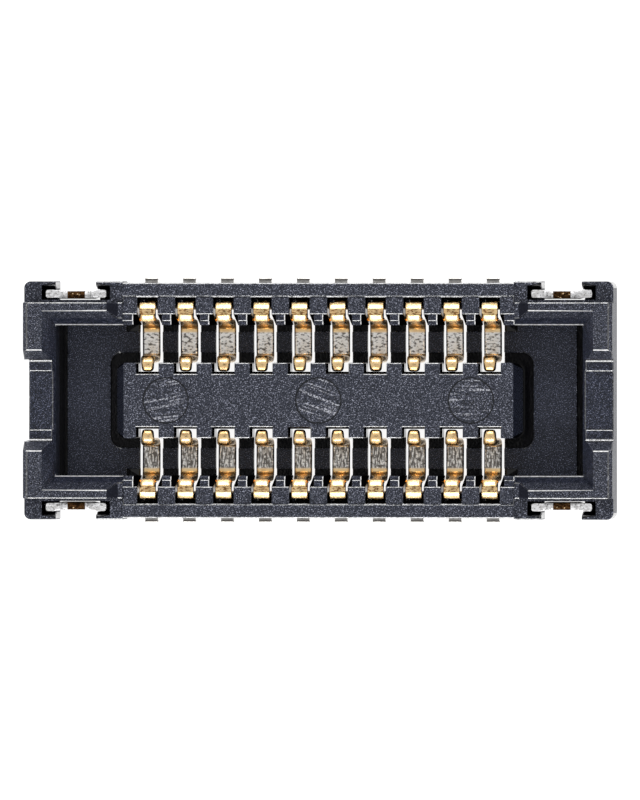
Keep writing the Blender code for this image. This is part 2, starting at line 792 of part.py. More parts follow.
def build_receptacle():
    """Build the whole part under one empty."""
    clear_scene()
    plastic = make_material("black_liquid_crystal_polymer", (0.022, 0.023, 0.028), 0.55, 0.0)
    gold = make_material("gold_plate", (0.83, 0.60, 0.28), 0.28, 1.0)
    tin = make_material("bright_tin_plate", (0.78, 0.77, 0.74), 0.30, 1.0)
    root = bpy.data.objects.new("receptacle", None)
    bpy.context.scene.collection.objects.link(root)
    build_housing(root, plastic)
    build_contacts(root, gold)
    build_nails(root, tin)


build_receptacle()
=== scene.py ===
"""Studio scene of a fine-pitch board-to-board receptacle.

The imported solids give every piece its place. The housing is their moulded block
with its edges broken, the contacts are drawn again as plated strips with coined
edges, and the fitting nails get their rolled and their sheared faces.
"""

import logging
import math
from dataclasses import dataclass
from enum import Enum

import bmesh
import bpy
from mathutils import Matrix, Vector


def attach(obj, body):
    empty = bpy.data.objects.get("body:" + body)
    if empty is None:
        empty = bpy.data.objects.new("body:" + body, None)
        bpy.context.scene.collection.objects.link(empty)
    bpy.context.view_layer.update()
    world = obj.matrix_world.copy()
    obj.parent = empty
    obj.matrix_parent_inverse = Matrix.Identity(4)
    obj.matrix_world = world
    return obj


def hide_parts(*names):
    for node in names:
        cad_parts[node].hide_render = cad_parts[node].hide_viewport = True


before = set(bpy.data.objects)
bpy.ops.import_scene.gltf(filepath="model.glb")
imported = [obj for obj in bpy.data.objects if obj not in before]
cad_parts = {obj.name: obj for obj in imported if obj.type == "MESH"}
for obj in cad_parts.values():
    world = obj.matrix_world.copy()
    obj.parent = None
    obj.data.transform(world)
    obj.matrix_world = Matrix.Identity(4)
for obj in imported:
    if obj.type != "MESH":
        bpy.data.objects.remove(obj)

MM = 0.001
PER_MM = 1000.0
ROOT = "root"

Colour = tuple[float, float, float]
Socket = bpy.types.NodeSocket

log = logging.getLogger("receptacle")


class Row(Enum):
    """The two contact rows, by the side of the middle that they stand on."""

    FAR = "a"
    NEAR = "b"

    @property
    def turn(self) -> float:
        """Angle about the vertical that brings a far-row contact into this row."""
        return 0.0 if self is Row.FAR else math.pi


class MouldFace(Enum):
    """Kinds of mould surface on the housing, in slot order, among them painted shade and painted highlight.
    """

    ERODED = 0
    # Darker copy of the eroded plastic with a slightly finer grain: painted shade.
    FINE = 1
    SMOOTH = 2
    POLISHED = 3
    EDGE = 4
    PIN_LEFT = 5
    PIN_MIDDLE = 6
    PIN_RIGHT = 7
    # Black, reflecting nothing: painted shade.
    PAINTED_SHADE = 8
    RAMP = 9
    # Near-white edge facets: painted highlight.
    PAINTED_HIGHLIGHT = 10


class NodeBench:
    """Lays out the nodes of one procedural material, measured in millimetres on the piece."""

    def __init__(self, name: str, turn: float = 0.0) -> None:
        """Start a material with its shader and its coordinates.

        Args:
            name: The material's name.
            turn: Angle about the vertical that the pattern is turned by, in degrees.
        """
        self.material = bpy.data.materials.new(name)
        self.material.use_nodes = True
        self.tree = self.material.node_tree
        self.shader = self.tree.nodes["Principled BSDF"]
        source = self.tree.nodes.new("ShaderNodeTexCoord")
        mapping = self.tree.nodes.new("ShaderNodeMapping")
        mapping.inputs["Scale"].default_value = (PER_MM, PER_MM, PER_MM)
        mapping.inputs["Rotation"].default_value = (0.0, 0.0, math.radians(turn))
        self.tree.links.new(source.outputs["Object"], mapping.inputs["Vector"])
        self.place = mapping.outputs["Vector"]

    def link(self, source: Socket, target: Socket) -> None:
        """Join two sockets."""
        self.tree.links.new(source, target)

    def noise(self, scale: float, detail: float = 2.0, stretch: Colour = (1.0, 1.0, 1.0)) -> Socket:
        """Add a noise pattern.

        Args:
            scale: Cells to a millimetre.
            detail: Octaves of finer noise.
            stretch: Factor on the scale along each axis.

        Returns:
            The pattern's value, mostly between 0.3 and 0.7.
        """
        place = self.place
        if stretch != (1.0, 1.0, 1.0):
            mapping = self.tree.nodes.new("ShaderNodeMapping")
            mapping.inputs["Scale"].default_value = stretch
            self.link(place, mapping.inputs["Vector"])
            place = mapping.outputs["Vector"]
        node = self.tree.nodes.new("ShaderNodeTexNoise")
        node.inputs["Scale"].default_value = scale
        node.inputs["Detail"].default_value = detail
        self.link(place, node.inputs["Vector"])
        return node.outputs["Fac"]

    def cells(self, scale: float) -> Socket:
        """Return the distance pattern of scattered cells, with so many cells to a millimetre."""
        node = self.tree.nodes.new("ShaderNodeTexVoronoi")
        node.inputs["Scale"].default_value = scale
        self.link(self.place, node.inputs["Vector"])
        return node.outputs["Distance"]

    def axis(self, name: str) -> Socket:
        """Return one coordinate of the piece in millimetres, by the axis letter."""
        node = self.tree.nodes.new("ShaderNodeSeparateXYZ")
        self.link(self.place, node.inputs["Vector"])
        return node.outputs[name]

    def reach_from(self, x: float) -> Socket:
        """Return the distance in plan from a point on the piece's X axis, in millimetres."""
        source = self.tree.nodes.new("ShaderNodeTexCoord")
        node = self.tree.nodes.new("ShaderNodeVectorMath")
        node.operation = "MULTIPLY_ADD"
        node.inputs[1].default_value = (PER_MM, PER_MM, 0.0)
        node.inputs[2].default_value = (-x, 0.0, 0.0)
        self.link(source.outputs["Object"], node.inputs[0])
        length = self.tree.nodes.new("ShaderNodeVectorMath")
        length.operation = "LENGTH"
        self.link(node.outputs[0], length.inputs[0])
        return length.outputs["Value"]

    def spread(self, value: Socket, low: float, high: float, to_low: float, to_high: float) -> Socket:
        """Map a range of a value to another range and hold it there.

        Args:
            value: The value to map.
            low: Where the range starts.
            high: Where it ends.
            to_low: Result at and before the start.
            to_high: Result at and after the end.

        Returns:
            The mapped value.
        """
        node = self.tree.nodes.new("ShaderNodeMapRange")
        node.inputs["From Min"].default_value = low
        node.inputs["From Max"].default_value = high
        node.inputs["To Min"].default_value = to_low
        node.inputs["To Max"].default_value = to_high
        self.link(value, node.inputs["Value"])
        return node.outputs["Result"]

    def combine(self, operation: str, first: Socket, second: Socket | float) -> Socket:
        """Return the result of one arithmetic step on one or two values."""
        node = self.tree.nodes.new("ShaderNodeMath")
        node.operation = operation
        self.link(first, node.inputs[0])
        if isinstance(second, float):
            node.inputs[1].default_value = second
        else:
            self.link(second, node.inputs[1])
        return node.outputs[0]

    def blend(self, share: Socket, first: Colour | Socket, second: Colour | Socket) -> Socket:
        """Mix two colours.

        Args:
            share: How much of the second colour shows, from 0 to 1.
            first: The first colour, or a socket that gives it.
            second: The second colour, or a socket that gives it.

        Returns:
            The mixed colour.
        """
        node = self.tree.nodes.new("ShaderNodeMix")
        node.data_type = "RGBA"
        self.link(share, node.inputs[0])
        for source, target in ((first, node.inputs[6]), (second, node.inputs[7])):
            if isinstance(source, tuple):
                target.default_value = (*source, 1.0)
            else:
                self.link(source, target)
        return node.outputs[2]

    def bump(self, height: Socket, depth: float, below: Socket | None = None) -> Socket:
        """Turn a height pattern into a relief.

        Args:
            height: The pattern.
            depth: Height in millimetres that a value of 1 stands for.
            below: A coarser relief that this one lies on.

        Returns:
            The relief's normal.
        """
        node = self.tree.nodes.new("ShaderNodeBump")
        node.inputs["Distance"].default_value = depth * MM
        self.link(height, node.inputs["Height"])
        if below is not None:
            self.link(below, node.inputs["Normal"])
        return node.outputs["Normal"]

    def set_base(self, metallic: float, ior: float = 1.5) -> None:
        """Set the values that are the same all over the surface."""
        self.shader.inputs["Metallic"].default_value = metallic
        self.shader.inputs["IOR"].default_value = ior

    def finish(self, colour: Socket, roughness: Socket, normal: Socket) -> bpy.types.Material:
        """Join the three patterns to the shader and return the material."""
        self.link(colour, self.shader.inputs["Base Color"])
        self.link(roughness, self.shader.inputs["Roughness"])
        self.link(normal, self.shader.inputs["Normal"])
        return self.material


@dataclass(frozen=True)
class MouldedPlastic:
    """Glass-filled plastic as one kind of mould surface leaves it."""

    name: str
    dark: Colour
    light: Colour
    painted_fleck_glint: Colour
    grain: float
    grain_depth: float
    roughness: float
    roughness_spread: float
    refraction: float

    def material(self) -> bpy.types.Material:
        """Build the material: grain, cloudy flow and scattered bright specks of painted glint."""
        bench = NodeBench(self.name)
        grain = bench.noise(self.grain, 2.0)
        flow = bench.noise(self.grain * 0.12, 2.0)
        tone = bench.spread(grain, 0.38, 0.62, 0.0, 1.0)
        # Bright specks scattered in the grain: painted glints.
        painted_fleck_glints = bench.spread(bench.noise(self.grain * 1.1, 1.0), 0.59, 0.70, 0.0, 1.0)
        colour = bench.blend(painted_fleck_glints, bench.blend(tone, self.dark, self.light), self.painted_fleck_glint)
        low = self.roughness - self.roughness_spread
        high = self.roughness + self.roughness_spread
        roughness = bench.spread(grain, 0.35, 0.65, low, high)
        coarse = bench.bump(flow, self.grain_depth * 1.5)
        relief = bench.bump(grain, self.grain_depth, coarse)
        bench.set_base(0.0, self.refraction)
        return bench.finish(colour, roughness, relief)


@dataclass(frozen=True)
class PinMark:
    """The mark of an ejector pin: the pin's grinding lines with painted glint along them, inside a fine dark
    ring.
    """

    name: str
    turn: float
    middle: float
    radius: float = 0.245
    ring: float = 0.014
    dark: Colour = (0.004, 0.005, 0.008)
    light: Colour = (0.034, 0.039, 0.060)
    painted_fleck_glint: Colour = (0.330, 0.345, 0.430)
    painted_glint: Colour = (0.620, 0.630, 0.700)

    def material(self) -> bpy.types.Material:
        """Build the material: eroded grain, broken bright lines of painted glint, and the ring round them.
        """
        bench = NodeBench(self.name, self.turn)
        grain = bench.noise(84.0, 2.0)
        lines = bench.noise(1.0, 2.0, (2.4, 46.0, 1.0))
        tone = bench.spread(grain, 0.38, 0.62, 0.0, 1.0)
        painted_fleck_glints = bench.spread(bench.noise(92.0, 1.0), 0.59, 0.70, 0.0, 1.0)
        # Bright broken lines along the grinding: painted glints.
        dots = bench.spread(bench.noise(60.0, 1.0), 0.44, 0.60, 0.0, 0.8)
        painted_glints = bench.combine("MULTIPLY", bench.spread(lines, 0.54, 0.66, 0.0, 1.0), dots)
        colour = bench.blend(painted_fleck_glints, bench.blend(tone, self.dark, self.light), self.painted_fleck_glint)
        colour = bench.blend(painted_glints, colour, self.painted_glint)
        ring_start = self.radius - self.ring
        ring = bench.spread(bench.reach_from(self.middle), ring_start - 0.003, ring_start, 0.0, 1.0)
        colour = bench.blend(ring, colour, self.dark)
        roughness = bench.spread(lines, 0.35, 0.65, 0.30, 0.46)
        coarse = bench.bump(lines, 0.006)
        bench.set_base(0.0, 1.34)
        return bench.finish(colour, roughness, bench.bump(grain, 0.008, coarse))


@dataclass(frozen=True)
class PlatedStrip:
    """Gold over nickel, with the nickel bare on the flat of the U."""

    name: str = "gold_over_nickel"
    gold: Colour = (1.00, 0.74, 0.40)
    deep_gold: Colour = (0.90, 0.61, 0.30)
    nickel: Colour = (1.00, 0.98, 0.95)
    dull_nickel: Colour = (0.90, 0.87, 0.83)
    scribble_and_painted_dark: Colour = (0.07, 0.06, 0.05)
    painted_top_reflection: Colour = (0.34, 0.17, 0.06)
    tip_painted_shade: Colour = (0.52, 0.29, 0.10)
    tip_end: float = 0.335
    arch_inner: float = 0.892
    arch_outer: float = 0.964
    nickel_inner: float = 0.475
    nickel_outer: float = 0.725
    nickel_top: float = 0.20
    tail_start: float = 1.150
    tail_reflection_line: float = 1.270

    def material(self) -> bpy.types.Material:
        """Build the material: plating grain, die lines across the strip, and the bare nickel."""
        bench = NodeBench(self.name)
        grain = bench.noise(42.0, 3.0)
        cloud = bench.noise(14.0, 2.0)
        die_lines = bench.noise(1.0, 3.0, (5.0, 70.0, 20.0))
        across = bench.combine("ABSOLUTE", bench.axis("Y"), 0.0)
        inner = bench.spread(across, self.nickel_inner, self.nickel_inner + 0.02, 0.0, 1.0)
        outer = bench.spread(across, self.nickel_outer - 0.02, self.nickel_outer, 1.0, 0.0)
        low = bench.spread(bench.axis("Z"), self.nickel_top - 0.02, self.nickel_top, 1.0, 0.0)
        foot = bench.combine("MULTIPLY", bench.combine("MULTIPLY", inner, outer), low)
        tail = bench.spread(across, self.tail_start, self.tail_start + 0.02, 0.0, 1.0)
        bare = bench.combine("MAXIMUM", foot, tail)
        gold = bench.blend(bench.spread(cloud, 0.4, 0.62, 0.0, 1.0), self.gold, self.deep_gold)
        nickel = bench.blend(bench.spread(die_lines, 0.42, 0.62, 0.0, 1.0), self.nickel, self.dull_nickel)
        # Dark strokes mark the U's bare nickel; the scores add darker strokes on the near row's U only:
        # painted shade.
        strokes = bench.spread(bench.noise(1.0, 3.0, (24.0, 40.0, 10.0)), 0.50, 0.62, 0.0, 0.9)
        near_row_shade_strokes = bench.spread(bench.noise(1.0, 3.0, (66.0, 13.0, 10.0)), 0.42, 0.56, 0.0, 0.9)
        near = bench.spread(bench.axis("Y"), -0.01, 0.01, 1.0, 0.0)
        marks = bench.combine("MAXIMUM", strokes, bench.combine("MULTIPLY", near_row_shade_strokes, near))
        scribbles_and_painted_shade = bench.combine("MULTIPLY", marks, foot)
        # Dark brown streaks on the arch's flat top: painted reflection of the dark overhead.
        streaks = bench.spread(bench.noise(1.0, 3.0, (26.0, 60.0, 20.0)), 0.50, 0.58, 0.0, 1.0)
        over_inner = bench.spread(across, self.arch_inner, self.arch_inner + 0.008, 0.0, 1.0)
        before_outer = bench.spread(across, self.arch_outer - 0.008, self.arch_outer, 1.0, 0.0)
        on_top = bench.combine("MULTIPLY", over_inner, before_outer)
        painted_top_reflection = bench.combine("MULTIPLY", streaks, on_top)
        gold = bench.blend(painted_top_reflection, gold, self.painted_top_reflection)
        # The hook's tip goes darker brown with dark spots: painted shade.
        tip = bench.spread(across, self.tip_end, self.tip_end + 0.04, 0.65, 0.0)
        gold = bench.blend(tip, gold, self.tip_painted_shade)
        tip_shade_spots = bench.spread(bench.noise(13.0, 1.0), 0.56, 0.64, 0.0, 1.0)
        gold = bench.blend(bench.combine("MULTIPLY", tip, tip_shade_spots), gold, self.scribble_and_painted_dark)
        # A dark line along the tail's ridge: painted reflection.
        from_reflection_line = bench.combine("ABSOLUTE", bench.combine("SUBTRACT", across, self.tail_reflection_line), 0.0)
        mark = bench.spread(from_reflection_line, 0.004, 0.007, 0.9, 0.0)
        colour = bench.blend(bare, gold, bench.blend(scribbles_and_painted_shade, nickel, self.scribble_and_painted_dark))
        colour = bench.blend(mark, colour, self.scribble_and_painted_dark)
        gold_gloss = bench.spread(grain, 0.3, 0.7, 0.18, 0.32)
        tail_shine = bench.combine("MULTIPLY", tail, 0.10)
        inside = bench.combine("MAXIMUM", bench.combine("SUBTRACT", low, tail), 0.0)
        inside_gloss = bench.combine("MULTIPLY", inside, 0.10)
        roughness = bench.combine("ADD", gold_gloss, bench.combine("ADD", inside_gloss, tail_shine))
        coarse = bench.bump(die_lines, 0.0010)
        bench.set_base(1.0)
        return bench.finish(colour, roughness, bench.bump(grain, 0.0010, coarse))


@dataclass(frozen=True)
class TinPlate:
    """Bright tin over rolled strip."""

    name: str = "bright_tin"
    bright: Colour = (0.98, 0.98, 0.99)
    dull: Colour = (0.78, 0.77, 0.77)
    scuff: Colour = (0.30, 0.29, 0.28)

    def material(self) -> bpy.types.Material:
        """Build the material: fine plating grain with dull clouds."""
        bench = NodeBench(self.name)
        grain = bench.noise(38.0, 3.0)
        cloud = bench.noise(22.0, 3.0)
        colour = bench.blend(bench.spread(cloud, 0.49, 0.60, 0.0, 1.0), self.bright, self.dull)
        scuffs = bench.spread(bench.noise(46.0, 2.0), 0.56, 0.64, 0.0, 0.8)
        colour = bench.blend(scuffs, colour, self.scuff)
        roughness = bench.spread(grain, 0.3, 0.7, 0.40, 0.56)
        bench.set_base(1.0)
        return bench.finish(colour, roughness, bench.bump(grain, 0.0070))


@dataclass(frozen=True)
class ShearedBronze:
    """Bare bronze where the punch cut the strip after plating."""

    name: str = "sheared_bronze"
    bright: Colour = (0.120, 0.058, 0.021)
    dark: Colour = (0.020, 0.010, 0.005)
    painted_glint: Colour = (0.950, 0.700, 0.420)

    def material(self) -> bpy.types.Material:
        """Build the material: torn metal with burnish lines down the cut, and specks of painted glint."""
        bench = NodeBench(self.name)
        tear = bench.noise(48.0, 4.0)
        lines = bench.noise(1.0, 3.0, (60.0, 8.0, 8.0))
        colour = bench.blend(bench.spread(tear, 0.36, 0.62, 0.0, 1.0), self.bright, self.dark)
        # Sparse light specks: painted glints.
        painted_glints = bench.spread(bench.noise(30.0, 1.0), 0.66, 0.72, 0.0, 1.0)
        colour = bench.blend(painted_glints, colour, self.painted_glint)
        roughness = bench.spread(lines, 0.3, 0.7, 0.42, 0.62)
        bench.set_base(1.0)
        return bench.finish(colour, roughness, bench.bump(tear, 0.010))


def add_piece(
    name: str,
    bm: bmesh.types.BMesh,
    finishes: list[bpy.types.Material],
    smooth_up_to: float,
) -> bpy.types.Object:
    """Turn a shape drawn in millimetres into a piece that rides on the part's body.

    Args:
        name: The piece's name.
        bm: The shape, which is freed.
        finishes: Its materials, in slot order.
        smooth_up_to: Largest angle between faces that is shaded smooth, in degrees.

    Returns:
        The new object, at the origin.
    """
    bmesh.ops.scale(bm, vec=(MM, MM, MM), verts=bm.verts)
    mesh = bpy.data.meshes.new(name)
    bm.to_mesh(mesh)
    bm.free()
    mesh.shade_smooth()
    mesh.set_sharp_from_angle(angle=math.radians(smooth_up_to))
    for finish in finishes:
        mesh.materials.append(finish)
    piece = bpy.data.objects.new(name, mesh)
    bpy.context.scene.collection.objects.link(piece)
    weights = piece.modifiers.new("flat_faces_lead", "WEIGHTED_NORMAL")
    weights.keep_sharp = True
    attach(piece, ROOT)
    return piece


def merged_copy(node: str) -> bmesh.types.BMesh:
    """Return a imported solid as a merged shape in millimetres, its flat faces whole.

    Args:
        node: The node's name.

    Returns:
        The shape, ready for its edges to be broken.
    """
    bm = bmesh.new()
    bm.from_mesh(bpy.data.objects[node].data)
    bmesh.ops.scale(bm, vec=(PER_MM, PER_MM, PER_MM), verts=bm.verts)
    bmesh.ops.remove_doubles(bm, verts=bm.verts, dist=2e-4)
    bmesh.ops.dissolve_limit(
        bm,
        angle_limit=math.radians(0.5),
        use_dissolve_boundaries=False,
        verts=bm.verts,
        edges=bm.edges,
        delimit=set(),
    )
    return bm


def break_edges(
    bm: bmesh.types.BMesh,
    edges: list[bmesh.types.BMEdge],
    radius: float,
    segments: int,
) -> list[bmesh.types.BMFace]:
    """Round a set of edges.

    Args:
        bm: The shape.
        edges: The edges to round.
        radius: How far each edge is cut back, in millimetres.
        segments: Faces across each rounding.

    Returns:
        The faces of the roundings.
    """
    rounding = bmesh.ops.bevel(
        bm,
        geom=edges,
        offset=radius,
        offset_type="OFFSET",
        affect="EDGES",
        segments=segments,
        profile=0.5,
        clamp_overlap=False,
        loop_slide=True,
        material=-1,
    )
    return rounding["faces"]


@dataclass
class Housing:
    """The moulded housing: broken edges, eroded flats, polished slopes and pin marks."""

    node: str = "housing"
    edge_radius: float = 0.0105
    sharp_angle: float = 30.0
    step_radius: float = 0.005
    notch_end: float = 0.281
    notch_lean: float = 0.020
    notch_shade_from: float = 0.290
    flat_limit: float = 0.90
    lead_limit: float = 0.30
    draft_limit: float = 0.015
    well_level: float = 0.200
    rib_level: float = 0.590
    lip_level: float = 0.570
    rib_end: float = 2.100
    rib_front: float = 0.780
    rib_back: float = 0.912
    painted_highlight_radius: float = 0.021
    lip_radius: float = 0.009
    lip_facets: int = 4
    low_lead: float = 0.600
    floor_level: float = 0.070
    ramp_end: float = 2.250
    ramp_side: float = 0.850
    saddle_start: float = 2.700
    saddle_half_width: float = 0.450
    pin_spacing: float = 1.605
    pin_radius: float = 0.245
    pin_height: float = 0.614

    def build(self) -> bpy.types.Object:
        """Build the housing's visible piece and return it."""
        bm = merged_copy(self.node)
        for face in bm.faces:
            face.material_index = self.kind_of(face).value
        self.darken_notches(bm)
        # Lead-in lips, edges under the lead-ins and rib edges beside the slots get near-white facets:
        # painted highlight.
        lips = [edge for edge in bm.edges if self.is_lead_lip(edge)]
        self.round_off(bm, lips, self.lip_radius, 2, MouldFace.PAINTED_HIGHLIGHT)
        for count in (4, 5):
            slanted = [edge for edge in bm.edges if self.segments_of(edge) == count]
            self.round_off(bm, slanted, self.edge_radius * count / 2, count, MouldFace.EDGE)
        painted_highlight = [edge for edge in bm.edges if self.is_under_lead(edge)]
        self.round_off(bm, painted_highlight, self.painted_highlight_radius, 2, MouldFace.PAINTED_HIGHLIGHT)
        steps = [edge for edge in self.square_edges(bm) if self.is_long_step(edge)]
        self.round_off(bm, steps, self.step_radius, 2, MouldFace.EDGE)
        square = [edge for edge in self.square_edges(bm) if not self.is_beside_slot(edge)]
        self.round_off(bm, square, self.edge_radius, 2, MouldFace.EDGE)
        painted_rib_highlights = [edge for edge in bm.edges if self.is_beside_slot(edge)]
        self.round_off(bm, painted_rib_highlights, self.edge_radius, 2, MouldFace.PAINTED_HIGHLIGHT)
        piece = add_piece("moulded_housing", bm, self.finishes(), 20.0)
        for polygon in piece.data.polygons:
            polygon.use_smooth = polygon.material_index != MouldFace.EDGE.value
        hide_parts(self.node)
        return piece

    def square_edges(self, bm: bmesh.types.BMesh) -> list[bmesh.types.BMEdge]:
        """Return the outer edges that still are sharp and have room to be rounded."""
        crowded = {
            vertex
            for edge in bm.edges
            if edge.calc_length() < 0.8 * self.edge_radius
            for vertex in edge.verts
        }
        rounded = (MouldFace.EDGE.value, MouldFace.PAINTED_HIGHLIGHT.value)
        return [
            edge
            for edge in bm.edges
            if edge.calc_face_angle_signed(0.0) > math.radians(self.sharp_angle)
            and edge.calc_length() > 2.1 * self.edge_radius
            and not crowded.intersection(edge.verts)
            and not any(face.material_index in rounded for face in edge.link_faces)
        ]

    def round_off(
        self,
        bm: bmesh.types.BMesh,
        edges: list[bmesh.types.BMEdge],
        radius: float,
        segments: int,
        kind: MouldFace,
    ) -> None:
        """Round edges and give the roundings their kind of surface.

        Args:
            bm: The housing's shape.
            edges: The edges to round.
            radius: How far each edge is cut back, in millimetres.
            segments: Facets across each rounding.
            kind: The surface that the facets get; ribs' lips and end-facing edges stay plain.
        """
        for face in break_edges(bm, edges, radius, segments):
            middle = face.calc_center_median()
            on_lip = middle.z < self.lip_level and abs(middle.x) < self.rib_end
            end_on = abs(face.normal.x) > 0.35
            plain = kind is MouldFace.EDGE and (on_lip or end_on)
            face.material_index = (MouldFace.ERODED if plain else kind).value

    def segments_of(self, edge: bmesh.types.BMEdge) -> int:
        """Return how many facets an edge's rounding needs for one of them to tilt by 22 degrees."""
        run = edge.verts[1].co - edge.verts[0].co
        level = any(face.normal.z > 0.99 for face in edge.link_faces)
        level = level and not any(face.material_index == MouldFace.PAINTED_HIGHLIGHT.value for face in edge.link_faces)
        angle = math.degrees(edge.calc_face_angle(0.0))
        if not level or abs(run.x) < 0.9 * run.length or run.length < 5 * self.edge_radius:
            return 2
        if 60.0 < angle < 65.0:
            return 4
        return 5 if 72.0 < angle < 77.0 else 2

    def is_lead_lip(self, edge: bmesh.types.BMEdge) -> bool:
        """Tell whether an edge is the upper end of a side lead-in slope."""
        beside = all(abs(vertex.co.y) > self.saddle_half_width for vertex in edge.verts)
        return beside and self.segments_of(edge) == self.lip_facets

    def is_long_step(self, edge: bmesh.types.BMEdge) -> bool:
        """Tell whether an edge is the step that runs the length of a rail."""
        return edge.calc_length() > 2.0 and abs(edge.verts[0].co.y) < 1.2

    def is_beside_slot(self, edge: bmesh.types.BMEdge) -> bool:
        """Tell whether an edge is the upper edge of a rib above its side wall of painted shade."""
        ends = [vertex.co for vertex in edge.verts]
        at_rib = all(self.rib_front < abs(end.y) < self.rib_back and end.z > 0.55 for end in ends)
        level = any(face.normal.z > 0.99 for face in edge.link_faces)
        wall = any(face.normal.x > 0.99 for face in edge.link_faces)
        inside = max(abs(end.x) for end in ends) < self.rib_end
        return at_rib and level and wall and inside and edge.calc_length() > 1.5 * self.edge_radius

    def is_under_lead(self, edge: bmesh.types.BMEdge) -> bool:
        """Tell whether an edge is the lower end of a lead-in slope, above an upright wall."""
        run = edge.verts[1].co - edge.verts[0].co
        slope = [face for face in edge.link_faces if self.lead_limit < face.normal.z < self.flat_limit]
        wall = [face for face in edge.link_faces if abs(face.normal.z) < self.draft_limit]
        return bool(slope and wall) and abs(run.x) > 0.9 * run.length

    def darken_notches(self, bm: bmesh.types.BMesh) -> None:
        """Lean the end walls of the island's notches, and give them and their side walls higher up painted
        shade.
        """
        walls = [face for face in bm.faces if self.is_notch_wall(face)]
        parts = {part for face in walls for part in (face, *face.edges, *face.verts)}
        cut = (0.0, 0.0, self.notch_shade_from)
        bmesh.ops.bisect_plane(bm, geom=list(parts), plane_co=cut, plane_no=(0.0, 0.0, 1.0))
        for face in bm.faces:
            if self.is_notch_wall(face) and face.calc_center_median().z > self.notch_shade_from:
                face.material_index = MouldFace.PAINTED_SHADE.value
        for face in bm.faces:
            middle = face.calc_center_median()
            if abs(face.normal.y) < 0.99 or abs(abs(middle.y) - self.notch_end) > 0.008:
                continue
            side = math.copysign(self.notch_lean, middle.y)
            for vertex in face.verts:
                if vertex.co.z < middle.z:
                    vertex.co.y += side
            face.material_index = MouldFace.PAINTED_SHADE.value

    def is_notch_wall(self, face: bmesh.types.BMFace) -> bool:
        """Tell whether a face is a side wall of one of the island's notches."""
        end = min(abs(vertex.co.y) for vertex in face.verts)
        starts_there = abs(end - self.notch_end) < 0.008
        return abs(face.normal.x) > 0.99 and starts_there and abs(face.verts[0].co.x) < self.rib_end

    def kind_of(self, face: bmesh.types.BMFace) -> MouldFace:
        """Return the kind of mould surface that a face is, by its slope and place."""
        middle = face.calc_center_median()
        if face.normal.z > self.flat_limit and abs(middle.z - self.pin_height) < 0.003:
            pins = (MouldFace.PIN_LEFT, MouldFace.PIN_MIDDLE, MouldFace.PIN_RIGHT)
            for index, kind in enumerate(pins):
                place = Vector(((index - 1) * self.pin_spacing, 0.0))
                if (middle.xy - place).length < self.pin_radius:
                    return kind
        if middle.z < self.floor_level:
            return MouldFace.POLISHED
        on_saddle = abs(middle.x) > self.saddle_start and abs(middle.y) < self.saddle_half_width
        # Saddles, rib lips, the well's floors and the lower lead-ins get the darker plastic of painted
        # shade.
        if face.normal.z > self.flat_limit:
            on_rib = middle.z < self.rib_level and abs(middle.x) < self.rib_end
            in_the_well = middle.z < self.well_level
            return MouldFace.FINE if on_saddle or on_rib or in_the_well else MouldFace.ERODED
        if on_saddle:
            return MouldFace.FINE
        beside_rib = self.rib_front < abs(middle.y) < self.rib_back and abs(middle.x) < self.rib_end
        # The ribs' side walls and the steep slopes below the lead limit get painted shade.
        if face.normal.z < self.draft_limit:
            return MouldFace.PAINTED_SHADE if beside_rib and face.normal.x > 0.99 else MouldFace.POLISHED
        if face.normal.z < self.lead_limit:
            return MouldFace.PAINTED_SHADE
        if abs(middle.x) < self.ramp_end:
            on_ramp = abs(face.normal.x) > 0.7 and abs(middle.y) > self.ramp_side
            return MouldFace.RAMP if on_ramp else MouldFace.SMOOTH
        return MouldFace.FINE if middle.z < self.low_lead else MouldFace.ERODED

    def finishes(self) -> list[bpy.types.Material]:
        """Return the housing's materials, in the order of the mould surfaces."""
        eroded = MouldedPlastic(
            name="eroded_plastic",
            dark=(0.004, 0.005, 0.008),
            light=(0.034, 0.039, 0.060),
            painted_fleck_glint=(0.330, 0.345, 0.430),
            grain=84.0,
            grain_depth=0.006,
            roughness=0.38,
            roughness_spread=0.12,
            refraction=1.34,
        )
        # Darker copy of the eroded plastic with a slightly finer grain; the darkness is painted shade on
        # lower faces.
        fine = MouldedPlastic(
            name="fine_plastic_painted_shade",
            dark=(0.001, 0.0015, 0.003),
            light=(0.017, 0.022, 0.042),
            painted_fleck_glint=(0.190, 0.205, 0.290),
            grain=90.0,
            grain_depth=0.005,
            roughness=0.38,
            roughness_spread=0.10,
            refraction=1.36,
        )
        smooth = MouldedPlastic(
            name="smooth_plastic",
            dark=(0.006, 0.0075, 0.015),
            light=(0.013, 0.016, 0.030),
            painted_fleck_glint=(0.024, 0.028, 0.044),
            grain=50.0,
            grain_depth=0.0012,
            roughness=0.26,
            roughness_spread=0.06,
            refraction=1.50,
        )
        polished = MouldedPlastic(
            name="polished_plastic",
            dark=(0.001, 0.001, 0.0015),
            light=(0.003, 0.003, 0.005),
            painted_fleck_glint=(0.006, 0.006, 0.009),
            grain=50.0,
            grain_depth=0.0008,
            roughness=0.10,
            roughness_spread=0.03,
            refraction=1.42,
        )
        edge = MouldedPlastic(
            name="rubbed_edge",
            dark=(0.006, 0.006, 0.008),
            light=(0.050, 0.052, 0.060),
            painted_fleck_glint=(0.200, 0.205, 0.225),
            grain=36.0,
            grain_depth=0.0016,
            roughness=0.18,
            roughness_spread=0.06,
            refraction=2.20,
        )
